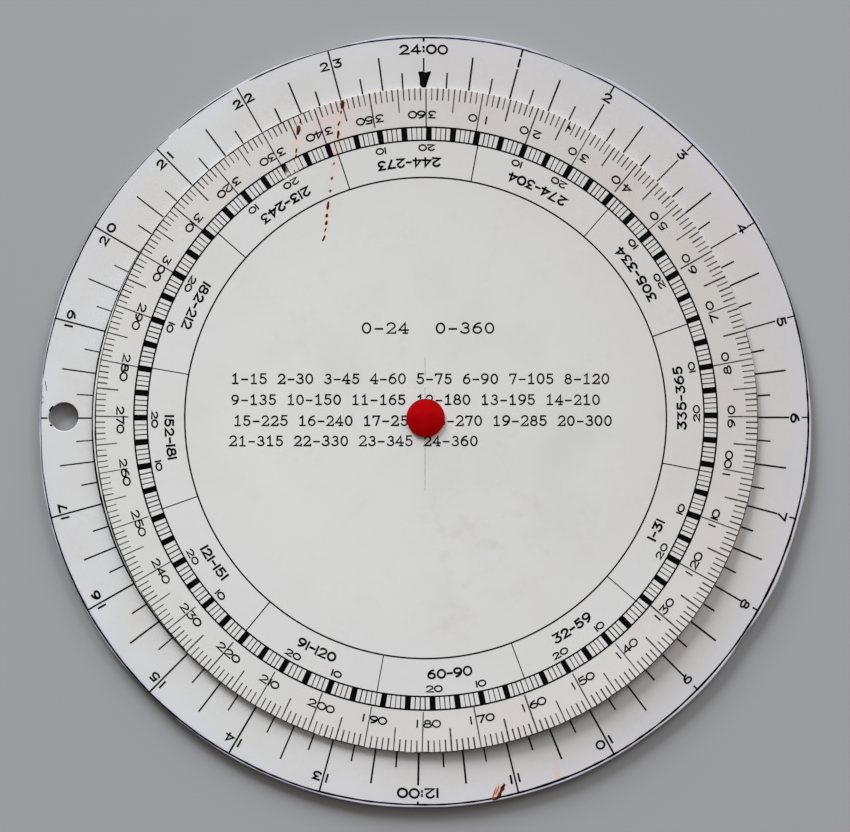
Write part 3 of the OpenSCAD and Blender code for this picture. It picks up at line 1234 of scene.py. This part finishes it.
def hour_marks():
    """The hour, half-hour and quarter-hour lines, as bars."""
    marks = []
    hole_in = HANG_HOLE_REACH - HANG_HOLE_RADIUS
    hole_out = HANG_HOLE_REACH + HANG_HOLE_RADIUS + HOLE_CLEAR
    for hour in range(24):
        azimuth = base_azimuth(hour * HOUR_STEP)
        start = line_start(azimuth)
        end = line_end(azimuth)
        swell = between(hour * HOUR_STEP, HOUR_SWELLS)
        if hour == 0:
            marks.append((azimuth, TALL_STUB_RADIUS, end, HOUR_PEN))
            marks.append((azimuth, ARROW_RADIUS, ARROW_LINE_END, ARROW_PEN))
        elif hour == 12:
            marks.append((azimuth, TALL_STUB_RADIUS, end, HOUR_PEN))
            marks.append((azimuth, start, HOUR_LINE_RADIUS, HOUR_PEN))
        elif hour < 10:
            marks.append((azimuth, HOUR_STUB_RADIUS, end, HOUR_PEN * swell))
            marks.append((azimuth, start, HOUR_LINE_RADIUS, HOUR_PEN * swell))
        elif hour == 18:
            marks.append((azimuth, hole_out, end, LONG_PEN))
            marks.append((azimuth, start, hole_in, LONG_PEN))
        else:
            marks.append((azimuth, start, end, LONG_PEN * swell))
        for quarter in (1, 2, 3):
            aside = base_azimuth((hour + quarter / 4) * HOUR_STEP)
            reach = HALF_HOUR_RADIUS if quarter == 2 else QUARTER_HOUR_RADIUS
            pen = HALF_PEN if quarter == 2 else QUARTER_PEN
            pen *= between(aside, BASE_SWELLS)
            reach += length_at(aside, BASE_REACHES)
            marks.append((aside, line_start(aside), reach, pen))
    return [mark for mark in marks if mark[2] - mark[1] > LEAST_LENGTH]


def hour_numerals(ink):
    """The hour numerals, and plain numbers at the top and the bottom."""
    strokes = Strokes()
    digits = Lettering(DRAFTED, 2.35 * MM, 0.98, 0.48 * MM, 0.55 * MM, seed=11)
    for hour in range(1, 24):
        if hour in (12, 18):
            continue
        radius = HOUR_DIGITS_RADIUS + length_at(hour * HOUR_STEP, HOUR_DIGIT_RISES)
        place = round_the_pivot(base_azimuth(hour * HOUR_STEP), radius, True)
        text = str(hour)
        if hour < 10:
            aside = HOUR_ASIDE.get(hour, 0) * MM
            digits.write(strokes, text, place, aside - digits.length(text) / 2)
        else:
            aside = SECOND_DIGIT_ASIDE.get(hour, 0) * MM
            digits.write(strokes, text[0], place, -DIGIT_CLEAR - digits.length(text[0]))
            digits.write(strokes, text[1], place, DIGIT_CLEAR + aside)
    top = Lettering(DRAFTED, 2.6 * MM, 0.98, 0.5 * MM, 0.7 * MM, seed=12)
    centred(top, strokes, "24:00", base_azimuth(0), TOP_DIGITS_RADIUS, True)
    centred(top, strokes, "12:00", base_azimuth(180), HOUR_DIGITS_RADIUS, True)
    strokes.lay("hour_numerals", "base", ink, BASE_PRINT_SHIFT)


# The arrow that points at the dial, with a nearly flat back and a blunt tip
ARROW = [
    (-1.64, 86.62), (-1.25, 86.78), (-0.5, 86.82), (0.35, 86.52), (0.8, 86.75), (1.67, 86.85),
    (1.4, 86.0), (1.07, 85.15), (0.8, 84.3), (0.62, 83.65), (0.32, 82.72), (-0.5, 82.7),
    (-0.8, 82.95), (-1.24, 83.45), (-1.22, 84.3), (-1.26, 85.15), (-1.45, 85.9),
]
# A small three-cornered blot among the degree lines
BLOT = [(35.1, 72.45), (35.95, 72.95), (36.25, 71.75), (35.8, 71.85)]


def lay_plate(name, outline, body, ink, shift=(0, 0)):
    """Lays one flat shape of ink."""
    strokes = Strokes()
    strokes.plate([(x * MM, y * MM) for x, y in outline])
    strokes.lay(name, body, ink, shift)


# Steps round a drawn circle and in each of its plates, and the least width that is laid
CIRCLE_STEPS = 720
PLATE_STEPS = 3
LEAST_WIDTH = 0.1 * MM


def lay_circle(name, radii, pens, rim, margin, uneven_width, body, ink):
    """Lays a hand-drawn circle in short plates, cut away wherever the blade went inside it."""
    strokes = Strokes()
    runs = [[]]
    for step in range(CIRCLE_STEPS + 1):
        azimuth = 360 * step / CIRCLE_STEPS
        wander = noise.noise(Vector((azimuth / 3, 2.5, 0)))
        swell = noise.noise(Vector((azimuth / 1.3, 7.5, 0)))
        half = length_at(azimuth, pens) * (1 + uneven_width * swell) / 2
        middle = length_at(azimuth, radii) + HAND_WANDER * wander
        outer = min(middle + half, rim(azimuth) - margin)
        if outer - middle + half > LEAST_WIDTH:
            runs[-1].append((azimuth, middle - half, outer))
        elif runs[-1]:
            runs.append([])
    for run in runs:
        for first in range(0, len(run) - 1, PLATE_STEPS):
            piece = run[first:first + PLATE_STEPS + 1]
            near = [polar(a, inner) for a, inner, outer in piece]
            far = [polar(a, outer) for a, inner, outer in reversed(piece)]
            strokes.plate(near + far)
    strokes.lay(name, body, ink)


# Thin squiggles left by the pen on the frayed stretch of the rim: azimuth and radius
FRAY_MARKS = [
    [(275.6, 94.8), (275.2, 94.75), (274.7, 94.45), (274.4, 94.5), (274.1, 94.2)],
    [(273.3, 95.2), (273.05, 95.05), (272.9, 95.0)],
    [(272.5, 94.9), (272.3, 95.1), (272.2, 95.35)],
    [(267.8, 95.3), (267.6, 95.4), (267.3, 95.3), (267.1, 95.4)],
]
FRAY_PEN = 0.15 * MM

# Dark specks on the hanging hole's edge: first and last azimuth round the hole
HOLE_SPECKS = [(314, 290), (241, 233)]
SPECK_WIDTH = 0.48 * MM


def rim_specks(ink, grey_ink):
    """Dark specks on the hanging hole's edge, and squiggles on the frayed stretch of the rim."""
    strokes = Strokes()
    chance = random.Random(31)
    hole_x, hole_y = polar(HANG_HOLE_AZIMUTH, HANG_HOLE_REACH)
    for first, last in HOLE_SPECKS:
        path = []
        for step in range(5):
            turn = first + (last - first) * step / 4
            reach = HANG_HOLE_RADIUS + SPECK_WIDTH / 2 + chance.uniform(0, 0.06) * MM
            x, y = polar(turn, reach)
            path.append((hole_x + x, hole_y + y))
        strokes.band(path, SPECK_WIDTH)
    strokes.lay("rim_specks", "base", ink)
    strokes = Strokes()
    for mark in FRAY_MARKS:
        strokes.band([polar(azimuth, radius * MM) for azimuth, radius in mark], FRAY_PEN)
    strokes.lay("fray_marks", "base", grey_ink)


def print_base(ink, line_ink):
    """Everything printed on the base."""
    spreads = (0.012, 0.1, 0.5)
    lay_bars("hour_lines", hour_marks(), 3, spreads, "base", line_ink, BASE_PRINT_SHIFT)
    lay_circle("outer_line", OUTER_LINE, OUTER_PEN, base_rim, LINE_MARGIN, 0.35, "base", ink)
    lay_circle("inner_line", INNER_LINE, INNER_PEN, base_rim, 0, 0.2, "base", ink)
    hour_numerals(ink)
    lay_plate("arrow_mark", ARROW, "base", ink, BASE_PRINT_SHIFT)


# Printing on the dial

# How late a ten-degree line can start, for a random choice
LATE_STARTS = (0, 0, 0, 0, 0, 0.4, 0.4, 1.2, 2.5)
# How many degrees a day's line can wander, and how much of a day a date is moved back
DAY_WANDER = 0.22
DATE_BACK = 0.9


def degree_marks():
    """The degree lines, short, middling and long."""
    marks = []
    chance = random.Random(21)
    for degree in range(360):
        azimuth = dial_azimuth(degree)
        reach = min(dial_rim(azimuth) - DIAL_MARK_MARGIN, length_at(azimuth, DIAL_LINE))
        swell = between(azimuth, DIAL_SWELLS)
        if degree % 10 == 0:
            late = chance.choice(LATE_STARTS) * MM
            marks.append((azimuth, TEN_DEGREE_RADIUS + late, reach, TEN_DEGREE_PEN * swell))
        elif degree % 5 == 0:
            marks.append((azimuth, FIVE_DEGREE_RADIUS, reach, FIVE_DEGREE_PEN * swell))
        else:
            marks.append((azimuth, DEGREE_RADIUS, reach, DEGREE_PEN * swell))
    return marks


def month_spans():
    """Each month's start, middle, width of a day, number of days and text."""
    starts = [start for start, days, text in MONTHS]
    ends = starts[1:] + [starts[0] + 360]
    return [
        (start, (start + end) / 2, (end - start) / days, days, text)
        for (start, days, text), end in zip(MONTHS, ends)
    ]


def day_azimuth(start, length, day):
    """Where a day's line stands in its month, with the drawing's small unevenness."""
    azimuth = start + length * day
    return azimuth + DAY_WANDER * noise.noise(Vector((azimuth / 6, 6.5, 0)))


def day_marks():
    """The lines between the days, and a black cell on every fifth day."""
    lines = []
    cells = []
    for start, middle, length, days, text in month_spans():
        for day in range(days):
            azimuth = day_azimuth(start, length, day)
            lines.append((azimuth, DAY_LINE_RADIUS, TEN_DEGREE_RADIUS, DAY_PEN))
            if day % 5 == 4:
                azimuth = day_azimuth(start, length, day + 0.5)
                cells.append((azimuth, DAY_LINE_RADIUS, TEN_DEGREE_RADIUS, CELL_WIDTH))
    return lines, cells


# How far the middle of a degree number's first digit, and the rest of it, stand from its line
FIRST_OF_TWO = 2.0 * MM
REST_OF_TWO = 0.45 * MM
FIRST_OF_THREE = {"1": 1.4 * MM, "2": 1.25 * MM, "3": 1.5 * MM}
REST_OF_THREE = 0.25 * MM


def dial_numerals(ink):
    """The degree, date and month numerals."""
    strokes = Strokes()
    digits = Lettering(DRAFTED, 2.05 * MM, 1.1, 0.38 * MM, 0.32 * MM, seed=13)
    for degree in range(10, 361, 10):
        text = str(degree)
        radius = FIVE_DEGREE_RADIUS + length_at(degree, DEGREE_DIGIT_RISES)
        place = round_the_pivot(dial_azimuth(degree), radius, False)
        before = FIRST_OF_THREE[text[0]] if len(text) > 2 else FIRST_OF_TWO
        after = REST_OF_THREE if len(text) > 2 else REST_OF_TWO
        digits.write(strokes, text[0], place, -before - digits.length(text[0]) / 2)
        digits.write(strokes, text[1:], place, after)
    strokes.lay("degree_numerals", "dial", ink, DIAL_PRINT_SHIFT)

    strokes = Strokes()
    dates = Lettering(DRAFTED, 1.78 * MM, 1.16, 0.38 * MM, 0.42 * MM, seed=14)
    months = Lettering(DRAFTED, 2.5 * MM, 0.86, 0.5 * MM, 0.62 * MM, seed=15)
    for start, middle, length, days, text in month_spans():
        for day in (10, 20):
            azimuth = start + length * (day - DATE_BACK)
            centred(dates, strokes, str(day), azimuth, DATE_DIGITS_RADIUS, False)
        centred(months, strokes, text, middle, MONTH_DIGITS_RADIUS, False)
    strokes.lay("date_numerals", "dial", ink, DIAL_PRINT_SHIFT)


def number_table(ink):
    """The typed block round the pivot."""
    strokes = Strokes()
    large = Lettering(TYPED, 2.9 * MM, 1.02, 0.42 * MM, 0.3 * MM, seed=16, pitch=HEADING_PITCH)
    small = Lettering(TYPED, 2.7 * MM, 0.84, 0.38 * MM, 0.3 * MM, seed=17, pitch=TABLE_PITCH)
    for typed, rows in ((large, TABLE_HEADING), (small, TABLE_ROWS)):
        for text, x, y in rows:
            typed.write(strokes, text, straight_row(x * MM, y * MM - typed.height / 2), 0)
    strokes.lay("number_table", "dial", ink)


# The faint guide line: the top and foot of each stretch
GUIDE_STRETCHES = [(15, 10.5), (7.6, 4.5), (-4.6, -18)]
GUIDE_X = -0.15 * MM
GUIDE_PEN = 0.14 * MM


def centre_line(ink):
    """The faint guide line down the middle of the dial."""
    strokes = Strokes()
    for top, foot in GUIDE_STRETCHES:
        strokes.band([(GUIDE_X, top * MM), (GUIDE_X, foot * MM)], GUIDE_PEN)
    strokes.lay("centre_line", "dial", ink)


def print_dial(ink, line_ink, grey_ink, faint_ink):
    """Everything printed on the dial."""
    lay_bars("degree_lines", degree_marks(), 7, (0.03, 0.2, 1.1), "dial", grey_ink)
    lines, cells = day_marks()
    months = [(start, MONTH_LINE_RADIUS, DAY_LINE_RADIUS, MONTH_PEN) for start, days, text in MONTHS]
    lay_bars("day_lines", lines, 8, (0.0, 0.25, 1.6), "dial", ink, DIAL_PRINT_SHIFT)
    lay_bars("day_cells", cells, 9, (0.0, 0.06, 1.2), "dial", ink, DIAL_PRINT_SHIFT)
    lay_bars("month_lines", months, 10, (0.0, 0.15, 0.6), "dial", ink, DIAL_PRINT_SHIFT)
    lay_rings("dial_circles", DIAL_CIRCLES, 40, "dial", ink, DIAL_PRINT_SHIFT)
    lay_circle("dial_rim_line", DIAL_LINE, DIAL_PEN, dial_rim, LINE_MARGIN, 0.6, "dial", line_ink)
    dial_numerals(ink)
    number_table(ink)
    centre_line(faint_ink)
    lay_plate("ink_blot", BLOT, "dial", ink)


# Rust

# Corners round a blot
RUST_CORNERS = 12
# The rows of a blot's corners: share of its reach, and height above the sheet's face
RUST_ROWS = [(1.0, -0.01), (0.8, 0.025), (0.4, 0.04)]


def rust_piece(name, marks, body, finish, seed):
    """Low dried blots, each with an uneven outline."""
    shape = bmesh.new()
    chance = random.Random(seed)
    for x, y, long, wide, lean in marks:
        turn = math.radians(lean)
        along = Vector((-math.sin(turn), math.cos(turn)))
        across = Vector((along.y, -along.x))
        rough = [chance.uniform(0.72, 1.15) for step in range(RUST_CORNERS)]
        rows = []
        for share, height in RUST_ROWS:
            row = []
            for step in range(RUST_CORNERS):
                angle = 2 * math.pi * step / RUST_CORNERS
                reach = share * rough[step] * MM / 2
                offset = along * math.sin(angle) * long * reach
                offset += across * math.cos(angle) * wide * reach
                px = x * MM + offset.x
                py = y * MM + offset.y
                row.append(shape.verts.new((px, py, FACES[body](px, py) + height * MM)))
            rows.append(row)
        for low, high in zip(rows, rows[1:]):
            join_rows(shape, low, high)
        shape.faces.new(rows[0])
        shape.faces.new(rows[-1])
    mesh = outward_mesh(name, shape)
    mesh.shade_smooth()
    add_piece(name, mesh, body, "rust_stain", finish)


# Camera, lights and floor

CAMERA_TILT = math.radians(2.64)
CAMERA_DISTANCE = 500 * MM
CAMERA_LENS = 85.4
CAMERA_TARGET = Vector((-0.15 * MM, 0.5 * MM, BASE_TOP))
# Each lamp: azimuth, height angle, distance, size, its share of the light and its colour
LEFT_LAMP = (335, 17, 20, 7.3, 0.48, (0.97, 1.0, 1.04))
RIGHT_LAMP = (36, 21, 20, 10.4, 0.24, (1.0, 1.0, 1.0))
SKY_SHARE = 0.28
SKY_SWING = 0.83
SKY_AZIMUTH = 12
SKY_COLOUR = (1.06, 1.0, 0.92, 1)
FLOOR_HALF = 3
FLOOR_COLOUR = screen(158, 159, 163)
FLOOR_FAR_COLOUR = screen(166, 167, 171)
FLOOR_FAR_LIGHT = 0.8


def make_camera():
    """The photograph's view: nearly straight down, from a little towards -Y."""
    data = bpy.data.cameras.new("camera")
    data.lens = CAMERA_LENS
    data.sensor_width = 36
    camera = bpy.data.objects.new("camera", data)
    bpy.context.scene.collection.objects.link(camera)
    back = Vector((0, -math.sin(CAMERA_TILT), math.cos(CAMERA_TILT)))
    camera.location = CAMERA_TARGET + back * CAMERA_DISTANCE
    camera.rotation_euler = (CAMERA_TILT, 0, 0)
    bpy.context.scene.camera = camera


def make_lamp(name, azimuth, height, distance, size, share, colour):
    """A square lamp that faces the pivot and gives a share of a white sheet's light there."""
    rise = math.radians(height)
    data = bpy.data.lights.new(name, "AREA")
    data.shape = "SQUARE"
    data.size = size
    data.color = colour
    data.energy = share * (math.pi * distance) ** 2 / math.sin(rise)
    lamp = bpy.data.objects.new(name, data)
    bpy.context.scene.collection.objects.link(lamp)
    x, y = polar(azimuth, math.cos(rise) * distance)
    lamp.location = (x, y, math.sin(rise) * distance)
    lamp.rotation_mode = "QUATERNION"
    lamp.rotation_quaternion = (-lamp.location).to_track_quat("-Z", "Y")
    lamp.visible_camera = False


def make_lights():
    """Broad low lamps from the upper left and right, and a sky that is brighter that way."""
    make_lamp("left_lamp", *LEFT_LAMP)
    make_lamp("right_lamp", *RIGHT_LAMP)
    world = bpy.data.worlds.new("studio")
    bpy.context.scene.world = world
    world.use_nodes = True
    nodes = Nodes(world.node_tree)
    path = nodes.add("ShaderNodeLightPath").outputs
    seen = nodes.maths("MAXIMUM", path["Is Camera Ray"], path["Is Glossy Ray"])
    ways = nodes.add("ShaderNodeTexCoord").outputs["Generated"]
    heading = (*polar(SKY_AZIMUTH, 1), 0)
    along = nodes.add("ShaderNodeVectorMath", {0: ways, 1: heading}, operation="DOT_PRODUCT")
    feeds = {"Value": along.outputs["Value"], "From Min": -0.5, "From Max": 0.5}
    feeds["To Min"] = SKY_SHARE * (1 - SKY_SWING)
    feeds["To Max"] = SKY_SHARE * (1 + SKY_SWING)
    swing = nodes.add("ShaderNodeMapRange", feeds, interpolation_type="SMOOTHSTEP")
    feeds = {"Color": SKY_COLOUR, "Strength": swing.outputs["Result"]}
    sky = nodes.add("ShaderNodeBackground", feeds)
    shown = nodes.add("ShaderNodeBackground", {"Color": FLOOR_FAR_COLOUR, "Strength": FLOOR_FAR_LIGHT})
    feeds = {0: seen, 1: sky.outputs[0], 2: shown.outputs[0]}
    chosen = nodes.add("ShaderNodeMixShader", feeds)
    nodes.feed(world.node_tree.nodes["World Output"].inputs["Surface"], chosen.outputs[0])
    bpy.context.scene.view_settings.view_transform = "Standard"


def make_floor():
    """A plain pale floor at the height that the rivet's foot stands on."""
    finish = Finish("pale_floor", 0.9)
    colour = finish.mix(finish.cloud(0.4), FLOOR_COLOUR, screen(155, 156, 160))
    finish.colour(colour)
    mesh = bpy.data.meshes.new("floor")
    corners = [(x * FLOOR_HALF, y * FLOOR_HALF, 0) for x, y in ((-1, -1), (1, -1), (1, 1), (-1, 1))]
    mesh.from_pydata(corners, [], [(0, 1, 2, 3)])
    mesh.materials.append(finish.material)
    floor = bpy.data.objects.new("floor", mesh)
    bpy.context.scene.collection.objects.link(floor)


make_camera()
make_lights()
make_floor()

black_ink = ink_finish("black_ink", screen(3, 3, 4), screen(44, 42, 42), 0.55, 0.9)
line_ink = ink_finish("line_ink", screen(16, 15, 17), screen(66, 64, 64), 0.5, 0.88)
grey_ink = ink_finish("grey_ink", screen(43, 42, 43), screen(112, 109, 107), 0.35, 0.8)
faint_ink = ink_finish("faint_ink", screen(150, 148, 148), screen(186, 184, 184), 0.3, 0.7)
dried_rust = rust_finish(
    "dried_rust", screen(74, 36, 24), screen(104, 80, 40), screen(48, 28, 22)
)
pale_rust = rust_finish(
    "pale_rust", screen(186, 124, 104), screen(196, 140, 104), screen(168, 92, 68)
)
brown_spot = rust_finish("brown_spot", screen(84, 74, 68), screen(96, 84, 70), screen(70, 62, 58))
red_plastic = red_plastic_finish()
# The cut edges carry painted shade.
cut_edge = sheet_edge_finish()
sheet_back = sheet_back_finish()

print_bars = bars_tree()
print_ring = ring_tree()

make_base_sheet((base_sheet_finish(), cut_edge, sheet_back))
make_dial_sheet((dial_sheet_finish(), cut_edge, sheet_back))
make_rivet(red_plastic)
print_base(black_ink, line_ink)
rim_specks(black_ink, grey_ink)
print_dial(black_ink, line_ink, grey_ink, faint_ink)
rust_piece("dial_rust", DIAL_RUST, "dial", dried_rust, 51)
rust_piece("dial_spots", DIAL_SPOTS, "dial", brown_spot, 54)
rust_piece("base_rust", BASE_RUST, "base", dried_rust, 52)
rust_piece("base_rust_pale", BASE_RUST_PALE, "base", pale_rust, 53)
